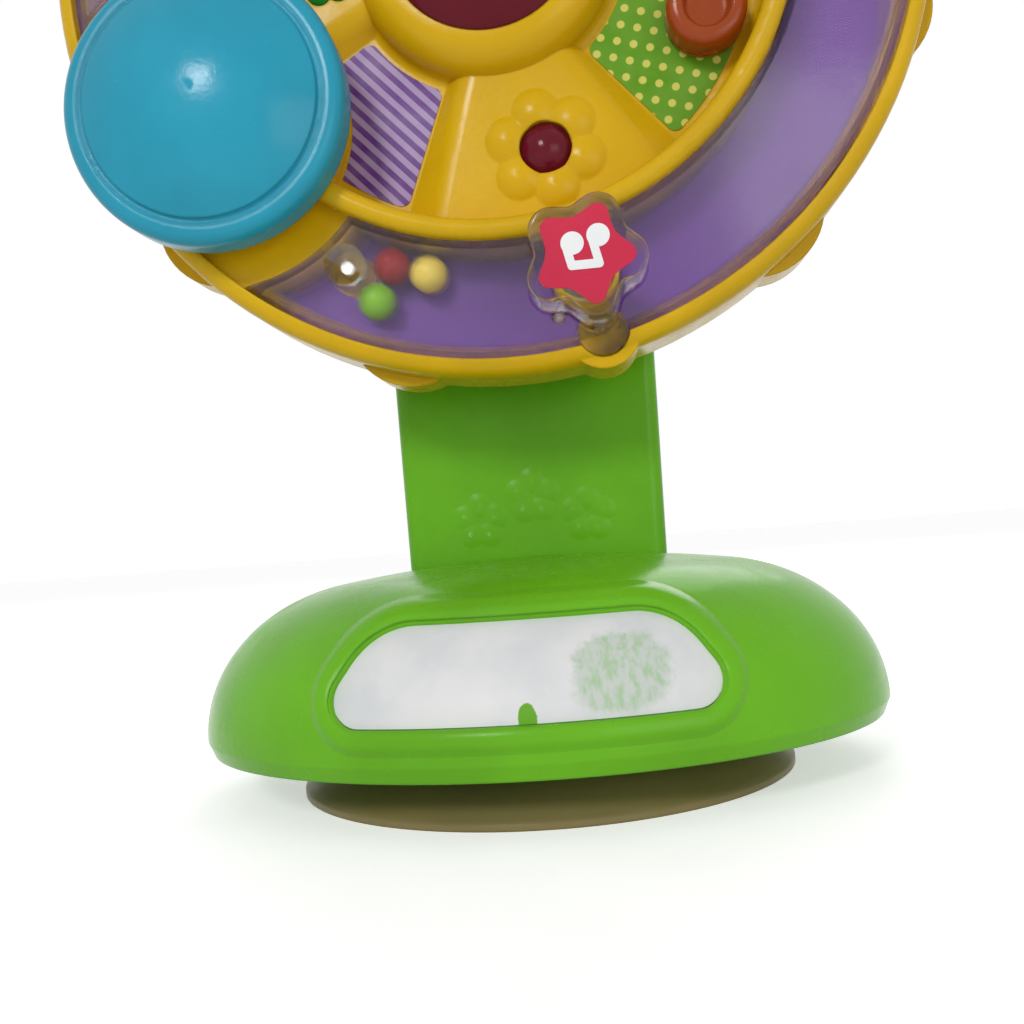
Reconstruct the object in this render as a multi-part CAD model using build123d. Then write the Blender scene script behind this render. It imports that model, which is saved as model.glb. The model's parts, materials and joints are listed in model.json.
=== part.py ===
# Musical spinner toy: an activity wheel that spins on an arm above a domed base with a suction cup.
# Millimetres. Z is up, the wheel faces -Y, and the origin is at the middle of the suction cup's foot.
from build123d import *
from math import acos, cos, degrees, pi, radians, sin, sqrt
import os

# Main places
axle_height = 172.5
wheel_rear_y = 9.0
arm_front_y = 13.0

# Clearances and cuts
overrun = 5.0
running_fit = 0.05
seat_fit = 0.1
end_play = 0.1
moving_gap = 0.5
sink = 0.4

# Angles on the wheel are measured from straight down, positive to the viewer's right
star_angle = 12.7
panel_count = 4
panel_pitch = 360 / panel_count
panel_turn = -2.8
panel_foot_half_angle = 31.2
panel_top_half_angle = 23.5
side_panel_foot_half_angle = 22.0
side_panel_top_half_angle = 14.3
dome_angle = -60.3
knob_angle = 67.0

# Suction cup and its clamp ring
cup_radius = 52.0
cup_height = 10.0
cup_lip = 1.2
cup_foot_width = 3.0
cup_hollow = 7.5
cup_shoulder_radius = 22.0
cup_neck_radius = 12.0
cup_flange_radius = 16.0
cup_flange = 2.5
clamp_radius = 23.0
clamp_bore_radius = 8.0
clamp_cap = 2.0
clamp_screw_count = 3

# Base: an oval dome on a flat plate
base_half_width = 72.0
base_half_depth = 60.0
base_top = 45.5
base_wall = 2.6
base_crown_radius = 200.0
base_shoulder_radius = 30.0
base_foot_inset = 1.0
plate_thickness = 3.0
base_boss_radius = 4.2
base_boss_x = 45.0
base_boss_y = 27.0

# Label on the front of the base, in a recess with a raised frame
label_level = 27.7
label_height = 16.8
label_foot_width = 76.6
label_top_width = 53.0
label_foot_round = 4.8
label_top_round = 14.0
label_thickness = 0.3
label_margin = 0.6
label_recess = 1.0
frame_width = 3.0
frame_rise = 0.7
frame_reach = 22.0

# Arm: two shells screwed together
arm_depth = 22.0
arm_wall = 2.4
arm_foot_level = 20.0
arm_foot_half_width = 29.5
arm_head_radius = 31.5
arm_edge_round = 3.0
arm_slot_gap = 0.3
arm_post_radius = 3.8
arm_post_x = 20.0
arm_post_low = 62.0
arm_post_high = 142.0
foot_post_radius = 4.5
foot_post_x = 22.0
arm_flower_level = 54.0
arm_flower_spacing = 12.5
arm_flower_step = 5.0
arm_flower_petal = 3.0
arm_flower_reach = 3.6
arm_flower_rise = 0.35
arm_flower_petals = 5

# Axle and what holds the wheel on it
axle_radius = 5.0
axle_flange_radius = 13.0
axle_flange = 3.0
axle_boss_radius = 10.0
axle_clamp_radius = 9.0
bush_radius = 7.2
bush_flange_radius = 9.5
bush_flange = 1.0
thrust_washer = 0.6
retaining_washer_radius = 9.0
retaining_washer = 1.2

# Screws
screw_radius = 1.25
screw_head_radius = 2.7
screw_head = 1.8
screw_bite = 8.0
small_screw_radius = 0.9
small_screw_head_radius = 1.9
small_screw_head = 1.2
small_screw_bite = 4.0
cross_width_share = 0.28
cross_length_share = 1.3
cross_depth_share = 0.55

# Wheel front shell, outwards from the hub; levels count from the rear cover's rear face to the viewer
hub_radius = 27.5
face_width = 31.0
ring_width = 4.5
channel_width = 23.4
rim_wall = 3.6
rim_land = 0.4
rim_rear = 12.0
rim_front = 29.0
channel_floor = 16.6
channel_skin = 1.8
ring_land = 0.1
ring_crest = 32.2
face_level = 20.0
face_skin = 2.2
panel_level = 24.0
panel_skin = 2.2
panel_root = 3.0
panel_round = 6.0
hub_round = 7.2
hub_side = 0.1
hub_foot_round = 1.7
hub_lip = 2.1
hub_web_top = 22.5
hub_boss_radius = 10.2
hub_boss_rear = 13.0
hub_pocket_wall = 2.2
hub_side_wall = 4.1
hub_crown_wall = 4.0
cap_rise = 7.6
cap_lip = 0.4
cap_wall = 2.0
cap_skirt = 4.0

# Grips on the rim, a pair in each quarter of the wheel
grip_angle = 28.0
grip_radius = 14.0
grip_rise = 2.5
grip_height = 10.0
grip_root = 1.2

# Rear cover
rear_wall = 2.2
rear_inset = 1.0
rear_round = 10.0
rear_lap = 2.6
rear_lap_wall = 2.0
rear_lap_rise = 2.4
rear_boss_height = 9.0
wheel_post_radius = 3.6
wheel_post_offset = 6.0
wheel_post_angles = (-16, 45, 80, 125, 165, 222, 250)

# Relief rosettes on the panels: petals round a core
relief_offset = 17.0
relief_rise = 1.7
core_rise = 2.6
flower_petals = 6
flower_petal = 5.0
flower_reach = 7.8
flower_core = 5.4
clover_offset = 5.9
clover_turn = -6.3
clover_petals = 4
clover_petal = 2.7
clover_reach = 3.0
daisy_petals = 8
daisy_petal = 3.6
daisy_reach = 8.6
daisy_core = 5.6
puff_petals = 3
puff_petal = 4.6
puff_reach = 4.2

# Stickers between the panels
sticker = 0.25
sticker_margin = 0.6
sticker_round = 2.0

# Bead track: purple floor, clear cover and its posts
track_floor = 1.5
track_fit = 0.3
cover_wall = 1.3
cover_inner_top = 31.4
cover_outer_top = 29.2
cover_round = 2.4
cover_post_offset = 9.4
cover_post_gap = 1.05
cover_post_radius = 4.2
lug_screw_inset = 2.4
lug_inset = 1.8
lug_radius = 5.0
lug_rise = 10.6
bump_radius = 7.6
bump_rise = 28.0

# Beads
bead_radius = 3.9
bead_gap = 0.15
left_bead_angles = (-20.5, -13.9, -21.2)
right_bead_angles = (86.0, 94.0, 90.0)

# Star button, its guide and what it presses
star_spacing = 12.8
star_point_radius = 15.4
star_valley_radius = 9.5
star_point_round = 4.4
star_valley_round = 2.6
star_under = 29.2
star_top = 41.5
star_edge_round = 0.9
star_gap = 0.45
star_travel = 1.8
star_stem_radius = 4.0
star_guide_radius = 7.0
star_guide_bore = 6.1
star_guide_top = 25.4
star_label = 0.3
star_label_inset = 2.4
note = 0.15
note_head_radius = 2.2
note_head_spacing = 5.1
note_stem_offset = 1.3
note_stem_width = 1.6
note_height = 6.2
note_slant = 1.45
note_beam = 1.75
note_round = 0.8
note_shift = 1.0
note_foot = 2.4
clip_radius = 6.0
clip_thickness = 0.9
clip_groove = 0.6
spring_wire_radius = 0.4
spring_radius = 5.1
spring_turns = 5
board = 1.2
button_board_length = 26.0
button_board_width = 18.0
button_board_level = 5.2
button_post_radius = 2.2
button_post_x = 10.2
button_post_y = 6.0
push_switch_side = 6.0
push_switch_height = 2.0
push_pin_radius = 1.6
push_pin_rise = 0.6
press_gap = 0.2
lamp_radius = 1.5
lamp_height = 9.6
lamp_x = 7.4
lamp_y = 5.4

# Turning dome on its drum
dome_offset = 2.3
dome_radius = 28.5
dome_wall = 2.2
dome_skirt = 4.6
dome_round = 3.0
dome_edge = 7.4
dome_rise = 14.0
dome_edge_inset = 3.4
dome_groove_inset = 4.4
dome_groove = 0.6
drum_radius = 25.4
drum_wall = 2.4
drum_top = 32.2
drum_round = 1.4
platform_radius = 34.6
platform_level = 26.5
dome_stem_radius = 5.0
dome_boss_radius = 8.0
dome_boss_rear = 24.0
dome_washer_radius = 7.6
dome_washer = 1.0
dome_play = 0.4

# Turning knob
knob_inset = 10.5
knob_radius = 8.2
knob_height = 6.6
knob_seat_radius = 7.4
knob_seat_rise = 0.8
knob_wall = 1.8
knob_round = 2.2
knob_dish = 2.0
knob_rim_width = 3.2
knob_stem_radius = 3.0
knob_boss_radius = 6.0
knob_boss_rear = 13.4
knob_washer_radius = 5.4
knob_washer = 0.8

# Battery box in the rear cover
cell_radius = 5.25
cell_length = 44.5
cell_spacing = 11.4
cell_tip_radius = 1.9
cell_tip = 0.8
battery_offset = 15.5
battery_wall = 1.4
battery_slack = 1.75
door_thickness = 1.6
door_gap = 0.25
contact_side = 7.0

# Sound: speaker behind a grille
speaker_offset = 17.5
speaker_radius = 14.0
speaker_flange = 1.2
speaker_basket_radius = 11.5
speaker_basket = 3.0
speaker_magnet_radius = 7.0
speaker_magnet = 3.6
speaker_cone_wall = 0.5
speaker_dust_radius = 3.5
speaker_fence = 1.2
speaker_fence_rise = 2.2
grille_hole_radius = 1.1
grille_pitch = 3.6
grille_rings = 2

# Main board and its parts
main_board_offset = 14.5
main_board_length = 46.0
main_board_width = 22.0
main_board_level = 8.0
board_post_radius = 2.4
board_post_x = 19.0
board_post_y = 7.6
chip_side = 10.0
chip_thickness = 1.6
reed_radius = 1.2
reed_length = 14.0
reed_offset = 5.0
magnet_radius = 4.0
magnet_thickness = 3.0
magnet_fence = 1.4

# Power slider on the rear cover
slider_offset = 18.5
slider_length = 12.0
slider_width = 7.0
slider_plate = 1.6
slider_nub_length = 4.0
slider_nub_width = 3.2
slider_nub_rise = 1.6
slider_travel = 4.0
slider_wall = 1.4
slider_housing = 3.6

# Derived places
base_bottom = cup_height
plate_top = base_bottom + plate_thickness
arm_rear_y = arm_front_y + arm_depth
arm_split = arm_depth / 2
ring_inner_radius = hub_radius + face_width
channel_inner_radius = ring_inner_radius + ring_width
channel_outer_radius = channel_inner_radius + channel_width
rim_radius = channel_outer_radius + rim_wall
rim_round = rim_wall - rim_land
ring_round = (ring_width - ring_land) / 2
channel_under = channel_floor - channel_skin
hub_top = face_level + hub_foot_round + hub_side + hub_round
hub_pocket_radius = hub_radius - hub_round - hub_lip
hub_groove_inner_radius = hub_pocket_radius + hub_pocket_wall
hub_groove_outer_radius = hub_radius - hub_side_wall
hub_groove_top = hub_top - hub_crown_wall
lug_place = channel_outer_radius - lug_inset
star_place = lug_place - star_spacing
dome_place = channel_inner_radius + dome_offset
knob_place = ring_inner_radius - knob_inset
relief_place = hub_radius + relief_offset
clover_place = hub_radius + clover_offset
wheel_post_place = channel_inner_radius + wheel_post_offset
cover_post_place = channel_inner_radius + cover_post_offset
bead_inner_place = channel_inner_radius + track_fit + cover_wall + bead_gap + bead_radius
bead_outer_place = bead_inner_place + bead_gap + 2 * bead_radius
battery_place = hub_radius + battery_offset
speaker_place = hub_radius + speaker_offset
main_board_place = hub_radius + main_board_offset
slider_place = hub_radius + slider_offset
face_under = face_level - face_skin
track_level = channel_floor + track_floor
rim_inner_rear_radius = rim_radius - rear_lap
shoulder_centre_radius = base_half_depth - base_shoulder_radius
shoulder_run = sqrt((base_crown_radius - base_shoulder_radius) ** 2 - shoulder_centre_radius**2)
shoulder_level = base_top - base_crown_radius + shoulder_run
wheel_gap = arm_front_y - wheel_rear_y
axle_boss_rise = wheel_gap - bush_flange - thrust_washer - end_play
axle_seat = -wheel_gap - arm_wall
axle_end = hub_web_top + bush_flange + end_play
star_stem_end = button_board_level + board + push_switch_height + push_pin_rise + press_gap + star_travel
dome_bottom = drum_top + moving_gap
dome_stem_end = dome_boss_rear - dome_play
knob_bottom = face_level + knob_seat_rise + moving_gap
knob_stem_end = knob_boss_rear - dome_play
cell_level = door_thickness + seat_fit + cell_radius
battery_length = cell_length + 2 * battery_slack
battery_width = cell_spacing + 2 * cell_radius + 2 * seat_fit
battery_ceiling = cell_level + cell_radius + seat_fit
battery_angle = star_angle
main_board_angle = star_angle + 180
speaker_angle = star_angle + panel_pitch
slider_angle = star_angle - panel_pitch
sticker_half_angle = (panel_pitch - panel_foot_half_angle - side_panel_foot_half_angle) / 2
stripe_angle = star_angle + panel_turn - panel_foot_half_angle - sticker_half_angle
dot_angle = star_angle + panel_turn + panel_foot_half_angle + sticker_half_angle
stripe_angles = (stripe_angle, stripe_angle + 180)
dot_angles = (dot_angle, dot_angle + 180)
cover_post_reach = platform_radius + track_fit + cover_post_gap + cover_post_radius
cover_post_sides = dome_place**2 + cover_post_place**2 - cover_post_reach**2
cover_post_angle = degrees(acos(cover_post_sides / (2 * dome_place * cover_post_place)))
cover_post_angles = (dome_angle + cover_post_angle, dome_angle - cover_post_angle)

CENTRED = (Align.CENTER, Align.CENTER, Align.MIN)


# Shared shapes
def disc(radius, low, high):
    """Cylinder about Z between two levels."""
    return Pos(0, 0, low) * Cylinder(radius, high - low, align=CENTRED)


def tube(outer, inner, low, high):
    """Hollow cylinder about Z between two levels."""
    return disc(outer, low, high) - disc(inner, low - overrun, high + overrun)


def block(length, width, low, high):
    """Box centred on Z between two levels."""
    return Pos(0, 0, low) * Box(length, width, high - low, align=CENTRED)


def slab(low, high):
    """Layer between two levels, wider than the whole toy."""
    return block(4 * axle_height, 4 * axle_height, low, high)


def lathe(*stations):
    """Turn a closed outline about Z; a station is (radius, level) or (radius, level, corner round)."""
    points = [(station[0], 0, station[1]) for station in stations]
    rounds = [station[2] if len(station) > 2 else 0 for station in stations]
    return revolve(make_face(FilletPolyline(*points, radius=rounds, close=True)), Axis.Z)


def turned(*lines):
    """Turn a closed outline made of lines and arcs in the XZ plane about Z."""
    return revolve(make_face([edge for line in lines for edge in line.edges()]), Axis.Z)


def lens(radius, rise):
    """Low round swelling on the XY plane, with its root sunk below the plane."""
    crown = TangentArc((0, 0, rise), (radius, 0, 0), tangent=(1, 0, 0))
    return turned(crown, Polyline((radius, 0, 0), (radius, 0, -sink), (0, 0, -sink), (0, 0, rise)))


def edges_at(shape, level):
    """Edges of a shape that lie flat at a level."""
    return shape.edges().filter_by_position(Axis.Z, level, level)


def on_wheel(shape):
    """Move a piece from the wheel's own frame, where Z points at the viewer, to its place."""
    return Location((0, wheel_rear_y, axle_height), (90, 0, 0)) * shape


def on_arm(shape):
    """Move a piece from the arm's own frame, where Z points at the viewer, to its place."""
    return Location((0, arm_rear_y, 0), (90, 0, 0)) * shape


def spot(place, angle):
    """Place on the wheel's face, with Y pointing outwards along the radius."""
    return Location((place * sin(radians(angle)), -place * cos(radians(angle)), 0), (0, 0, angle + 180))


star_seat = spot(star_place, star_angle)
dome_seat = spot(dome_place, dome_angle)
knob_seat = spot(knob_place, knob_angle)
lug_seat = spot(lug_place, star_angle)
battery_seat = spot(battery_place, battery_angle)
speaker_seat = spot(speaker_place, speaker_angle)
slider_seat = spot(slider_place, slider_angle)
main_board_seat = spot(main_board_place, main_board_angle)


def flipped(level):
    """Place at a level on the Z axis, turned over so that its own Z points down."""
    return Pos(0, 0, level) * Rot(180, 0, 0)


def sector(inner, outer, half_angle, angle, level):
    """Face between two radii, centred on an angle."""
    start = angle - 90 - half_angle
    rims = [CenterArc((0, 0), radius, start, 2 * half_angle) for radius in (inner, outer)]
    sides = [Line(rims[0] @ end, rims[1] @ end) for end in (0, 1)]
    return Pos(0, 0, level) * make_face([edge for line in rims + sides for edge in line.edges()])


def rosette(count, petal, reach):
    """Ring of round petals on the XY plane."""
    return [place * lens(petal, relief_rise) for place in PolarLocations(reach, count, 90)]


def screw(bite, radius=screw_radius, head_radius=screw_head_radius, head=screw_head):
    """Screw whose head stands on the XY plane and whose shank points down; the head has a cross."""
    shape = disc(radius, -bite, 0) + disc(head_radius, 0, head)
    cut_width = head_radius * cross_width_share
    cut_length = head_radius * cross_length_share
    cut_level = head * (1 - cross_depth_share)
    slot = block(cut_length, cut_width, cut_level, head + sink)
    return shape - slot - Rot(0, 0, 90) * slot


def small_screw(bite):
    """Screw of the boards and the battery door."""
    return screw(bite, small_screw_radius, small_screw_head_radius, small_screw_head)


def pilot(depth, radius=screw_radius):
    """Hole below the XY plane that a screw bites into."""
    return disc(radius + running_fit, -depth - seat_fit, overrun)


# Suction cup and base
def suction_cup():
    foot_inner = cup_radius - cup_foot_width
    top = plate_top + cup_flange
    return turned(
        Polyline((foot_inner, 0, 0), (cup_radius, 0, 0), (cup_radius, 0, cup_lip)),
        TangentArc((cup_shoulder_radius, 0, cup_height), (cup_radius, 0, cup_lip), tangent=(1, 0, 0)),
        Polyline(
            (cup_shoulder_radius, 0, cup_height),
            (cup_neck_radius, 0, cup_height),
            (cup_neck_radius, 0, plate_top),
            (cup_flange_radius, 0, plate_top),
            (cup_flange_radius, 0, top),
            (0, 0, top),
            (0, 0, cup_hollow),
        ),
        TangentArc((0, 0, cup_hollow), (foot_inner, 0, 0), tangent=(1, 0, 0)),
    )


def clamp_spots():
    return PolarLocations((cup_flange_radius + clamp_radius) / 2, clamp_screw_count, -90)


def cup_clamp_ring():
    flange_top = plate_top + cup_flange
    ring = lathe(
        (cup_flange_radius + seat_fit, plate_top),
        (clamp_radius, plate_top),
        (clamp_radius, flange_top + clamp_cap),
        (clamp_bore_radius, flange_top + clamp_cap),
        (clamp_bore_radius, flange_top),
        (cup_flange_radius + seat_fit, flange_top),
    )
    holes = [place * disc(screw_radius + seat_fit, 0, base_top) for place in clamp_spots()]
    return ring - holes


def clamp_screw_bite():
    return cup_flange + clamp_cap + plate_thickness - sink


def cup_clamp_screws():
    level = plate_top + cup_flange + clamp_cap
    return Compound([place * Pos(0, 0, level) * screw(clamp_screw_bite()) for place in clamp_spots()])


def oval(grow):
    """Factor that widens a turned shape into the base's oval."""
    return ((base_half_width + grow) / (base_half_depth + grow), 1, 1)


def dome(grow, bottom, foot_inset=0):
    """Oval dome, grown outwards from the base's outer face and cut off flat at the bottom."""
    radius = base_half_depth + grow
    crown = base_crown_radius + grow
    share = crown / (base_crown_radius - base_shoulder_radius)
    crown_edge = (shoulder_centre_radius * share, 0, base_top - base_crown_radius + shoulder_run * share)
    shoulder_edge = (radius, 0, shoulder_level)
    shape = turned(
        TangentArc((0, 0, base_top + grow), crown_edge, tangent=(1, 0, 0)),
        TangentArc(shoulder_edge, crown_edge, tangent=(0, 0, 1)),
        Polyline(shoulder_edge, (radius - foot_inset, 0, bottom), (0, 0, bottom), (0, 0, base_top + grow)),
    )
    return scale(shape, by=oval(grow))


def label_prism(grow):
    """Block with the label's outline, lying level through the base's front."""
    plane = Plane((0, -base_half_depth, label_level), x_dir=(1, 0, 0), z_dir=(0, -1, 0))
    foot = label_foot_width / 2
    top = label_top_width / 2
    rise = label_height / 2
    outline = FilletPolyline(
        (-foot, -rise),
        (foot, -rise),
        (top, rise),
        (-top, rise),
        radius=(label_foot_round, label_foot_round, label_top_round, label_top_round),
        close=True,
    )
    face = offset(make_face(outline), grow) if grow else make_face(outline)
    return extrude(plane * face, frame_reach, both=True)


def base_boss_spots():
    return [Pos(x, y) for x in (-base_boss_x, base_boss_x) for y in (-base_boss_y, base_boss_y)]


def base_shell():
    body = dome(0, base_bottom, base_foot_inset)
    body += dome(frame_rise, base_bottom) & label_prism(frame_width)
    body -= label_prism(label_margin) - dome(-label_recess, base_bottom - overrun)
    body -= dome(-base_wall, base_bottom - overrun)
    bosses = [place * disc(base_boss_radius, plate_top, base_top) for place in base_boss_spots()]
    body += [boss & dome(-base_wall / 2, base_bottom) for boss in bosses]
    body -= [place * flipped(plate_top) * pilot(screw_bite) for place in base_boss_spots()]
    slot_width = 2 * (arm_foot_half_width + arm_slot_gap)
    slot_depth = arm_depth + 2 * arm_slot_gap
    slot = block(slot_width, slot_depth, plate_top, base_top + overrun)
    return body - Pos(0, arm_front_y + arm_depth / 2) * slot


def base_label():
    skin = dome(label_thickness - label_recess, base_bottom) - dome(-label_recess, base_bottom - overrun)
    return skin & label_prism(0)


def foot_spots():
    return [Pos(x, arm_rear_y - arm_split / 2) for x in (-foot_post_x, foot_post_x)]


def base_plate():
    plate = disc(base_half_depth - base_wall - seat_fit, base_bottom, plate_top)
    plate = scale(plate, by=oval(-base_wall))
    plate -= disc(cup_neck_radius + seat_fit, base_bottom - overrun, plate_top + overrun)
    for place in base_boss_spots() + foot_spots():
        plate -= place * disc(screw_radius + seat_fit, base_bottom - overrun, plate_top + overrun)
        plate -= place * disc(screw_head_radius + seat_fit, base_bottom - overrun, base_bottom + screw_head)
    return plate - [place * Pos(0, 0, plate_top) * pilot(plate_thickness - sink) for place in clamp_spots()]


def upward_screws(places):
    """Screws whose heads sit in the base plate and whose shanks point up."""
    bite = plate_thickness - screw_head + screw_bite - seat_fit
    turn = flipped(base_bottom + screw_head)
    return Compound([place * turn * screw(bite) for place in places])


# Arm
def arm_outline():
    left_foot = (-arm_foot_half_width, arm_foot_level)
    right_foot = (arm_foot_half_width, arm_foot_level)
    left_head = (-arm_head_radius, axle_height)
    right_head = (arm_head_radius, axle_height)
    top = ThreePointArc(right_head, (0, axle_height + arm_head_radius), left_head)
    return make_face([*Polyline(left_head, left_foot, right_foot, right_head).edges(), *top.edges()])


def arm_hollow_shell():
    """Both arm shells before they are split, in the arm's own frame."""
    shell = extrude(arm_outline(), arm_depth)
    rims = [edge for level in (0, arm_depth) for edge in edges_at(shell, level)]
    shell = fillet(rims, arm_edge_round)
    hollow = extrude(Pos(0, 0, arm_wall) * offset(arm_outline(), -arm_wall), arm_depth - 2 * arm_wall)
    return shell - hollow


def arm_post_spots():
    return [Pos(x, z) for x in (-arm_post_x, arm_post_x) for z in (arm_post_low, arm_post_high)]


def arm_flower_spots():
    """Three flowers side by side, the middle one higher."""
    steps = {-1: 0, 0: arm_flower_step, 1: 0}
    return [Pos(side * arm_flower_spacing, arm_flower_level + step) for side, step in steps.items()]


def magnet_spot():
    return Pos(0, axle_height - main_board_place + reed_offset)


def arm_front_shell():
    inner_face = arm_depth - arm_wall
    axle_spot = Pos(0, axle_height)
    shell = arm_hollow_shell() & slab(arm_split, arm_depth + overrun)
    shell += axle_spot * disc(axle_boss_radius, inner_face, arm_depth + axle_boss_rise)
    shell -= axle_spot * disc(axle_radius + seat_fit, inner_face - overrun, arm_depth + overrun)
    shell += [place * disc(arm_post_radius, arm_split, inner_face + sink) for place in arm_post_spots()]
    shell -= [place * flipped(arm_split) * pilot(screw_bite) for place in arm_post_spots()]
    fence_radius = magnet_radius + magnet_fence
    fence = tube(fence_radius, magnet_radius + seat_fit, inner_face - magnet_thickness, inner_face)
    shell += magnet_spot() * fence
    petal = Pos(0, 0, arm_depth) * lens(arm_flower_petal, arm_flower_rise)
    petals = PolarLocations(arm_flower_reach, arm_flower_petals, 90)
    shell += [flower * place * petal for flower in arm_flower_spots() for place in petals]
    return on_arm(shell)


def arm_rear_shell():
    flange_rear = arm_depth - arm_wall - axle_flange
    shell = arm_hollow_shell() & slab(-overrun, arm_split)
    shell += Pos(0, axle_height) * tube(axle_clamp_radius, axle_radius, arm_wall - sink, flange_rear)
    for place in arm_post_spots():
        shell += place * disc(arm_post_radius, arm_wall - sink, arm_split)
        shell -= place * disc(screw_radius + seat_fit, -overrun, arm_split + overrun)
        shell -= place * disc(screw_head_radius + seat_fit, -overrun, arm_wall)
    shell = on_arm(shell)
    for place in foot_spots():
        shell += place * disc(foot_post_radius, plate_top, arm_foot_level + arm_wall + screw_bite / 2)
        shell -= place * flipped(plate_top) * pilot(screw_bite)
    return shell


def arm_screws():
    bite = arm_split - arm_wall + screw_bite - seat_fit
    turn = flipped(arm_wall)
    return on_arm(Compound([place * turn * screw(bite) for place in arm_post_spots()]))


def trigger_magnet():
    inner_face = arm_depth - arm_wall
    return on_arm(magnet_spot() * disc(magnet_radius, inner_face - magnet_thickness, inner_face))


# Axle
def axle():
    flange = disc(axle_flange_radius, axle_seat - axle_flange, axle_seat)
    shaft = disc(axle_radius, axle_seat - axle_flange, axle_end)
    return on_wheel(flange + shaft - Pos(0, 0, axle_end) * pilot(screw_bite))


def axle_thrust_washer():
    low = -bush_flange - thrust_washer - end_play
    return on_wheel(tube(bush_flange_radius, axle_radius + running_fit, low, low + thrust_washer))


def axle_retaining_washer():
    ring = tube(retaining_washer_radius, screw_radius + seat_fit, axle_end, axle_end + retaining_washer)
    return on_wheel(ring)


def axle_retaining_screw():
    return on_wheel(Pos(0, 0, axle_end + retaining_washer) * screw(retaining_washer + screw_bite))


def rear_bush():
    bush = disc(bush_radius, 0, rear_boss_height) + disc(bush_flange_radius, -bush_flange, 0)
    return on_wheel(bush - disc(axle_radius + running_fit, -overrun, rear_boss_height + overrun))


def front_bush():
    bush = disc(bush_radius, hub_boss_rear, hub_web_top)
    bush += disc(bush_flange_radius, hub_web_top, hub_web_top + bush_flange)
    return on_wheel(bush - disc(axle_radius + running_fit, 0, axle_end + overrun))


# Wheel front shell
def front_skin():
    """Turned skin of the wheel: rim, channel, inner ring, face and hub."""
    return lathe(
        (rim_radius, rim_rear),
        (rim_radius, rim_front, rim_round),
        (channel_outer_radius, rim_front),
        (channel_outer_radius, channel_floor),
        (channel_inner_radius, channel_floor),
        (channel_inner_radius, ring_crest, ring_round),
        (ring_inner_radius, ring_crest, ring_round),
        (ring_inner_radius, face_level, ring_round),
        (hub_radius, face_level, hub_foot_round),
        (hub_radius, hub_top, hub_round),
        (hub_pocket_radius, hub_top),
        (hub_pocket_radius, hub_web_top),
        (bush_radius + seat_fit, hub_web_top),
        (bush_radius + seat_fit, hub_boss_rear),
        (hub_boss_radius, hub_boss_rear),
        (hub_boss_radius, face_under),
        (hub_groove_inner_radius, face_under),
        (hub_groove_inner_radius, hub_groove_top),
        (hub_groove_outer_radius, hub_groove_top),
        (hub_groove_outer_radius, face_under),
        (ring_inner_radius, face_under),
        (ring_inner_radius, channel_under),
        (rim_inner_rear_radius, channel_under),
        (rim_inner_rear_radius, rim_rear),
    )


def panel(angle, foot_half_angle, top_half_angle):
    """Raised sector between the hub and the inner ring, with sloping sides."""
    inner = hub_radius - panel_root
    outer = ring_inner_radius + ring_width / 2
    foot = sector(inner, outer, foot_half_angle, angle, face_level - sink)
    top = sector(inner, outer, top_half_angle, angle, panel_level)
    shape = loft([foot, top], ruled=True)
    return fillet(edges_at(shape, panel_level).filter_by(GeomType.LINE), panel_round)


def panel_pocket(angle, half_angle):
    """Hollow behind a panel."""
    inner = hub_radius
    outer = ring_inner_radius - panel_skin
    face = sector(inner, outer, half_angle, angle, face_under - overrun)
    return extrude(face, panel_level - panel_skin - face_under + overrun)


def quarter_angles():
    return [star_angle + number * panel_pitch for number in range(panel_count)]


def panels():
    """Middle angle of each panel, with its half-angles at the foot and at the top."""
    broad = (panel_foot_half_angle, panel_top_half_angle)
    narrow = (side_panel_foot_half_angle, side_panel_top_half_angle)
    shapes = (broad, narrow, broad, narrow)
    return [(angle + panel_turn, *shape) for angle, shape in zip(quarter_angles(), shapes)]


def grip(angle):
    """Low swelling on the rim's side for small fingers."""
    seat = spot(rim_radius + grip_rise - grip_radius, angle)
    swelling = seat * disc(grip_radius, rim_rear, rim_rear + grip_height)
    return swelling - disc(rim_radius - grip_root, 0, rim_front)


def grip_angles():
    return [angle + side * grip_angle for angle in quarter_angles() for side in (-1, 1)]


def relief_spot(angle, place=relief_place):
    return spot(place, angle) * Pos(0, 0, panel_level)


def yellow_reliefs():
    """Moulded rosettes: a flower, a daisy and a puff on three of the panels."""
    flower, puff, daisy, clover = quarter_angles()
    shapes = [relief_spot(flower) * petal for petal in rosette(flower_petals, flower_petal, flower_reach)]
    shapes += [relief_spot(puff) * petal for petal in rosette(puff_petals, puff_petal, puff_reach)]
    shapes += [relief_spot(daisy) * petal for petal in rosette(daisy_petals, daisy_petal, daisy_reach)]
    return shapes


def inlay_pocket(angle, place, radius):
    """Round pocket in a panel that takes an inlay's root."""
    return relief_spot(angle, place) * disc(radius, -sink, overrun)


def inlay(radius, rise):
    """Round coloured inlay with a low crown."""
    return lens(radius - seat_fit, rise)


def core_angles():
    flower, puff, daisy, clover = quarter_angles()
    return {flower: flower_core, daisy: daisy_core}


def flower_inlays():
    cores = [relief_spot(angle) * inlay(radius, core_rise) for angle, radius in core_angles().items()]
    return on_wheel(Compound(cores))


def clover_leaf_spots():
    clover = quarter_angles()[-1] + clover_turn
    leaves = PolarLocations(clover_reach, clover_petals, 45)
    return [relief_spot(clover, clover_place) * place for place in leaves]


def clover_inlay():
    leaves = [place * inlay(clover_petal, relief_rise) for place in clover_leaf_spots()]
    return on_wheel(leaves[0].fuse(*leaves[1:]))


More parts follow.
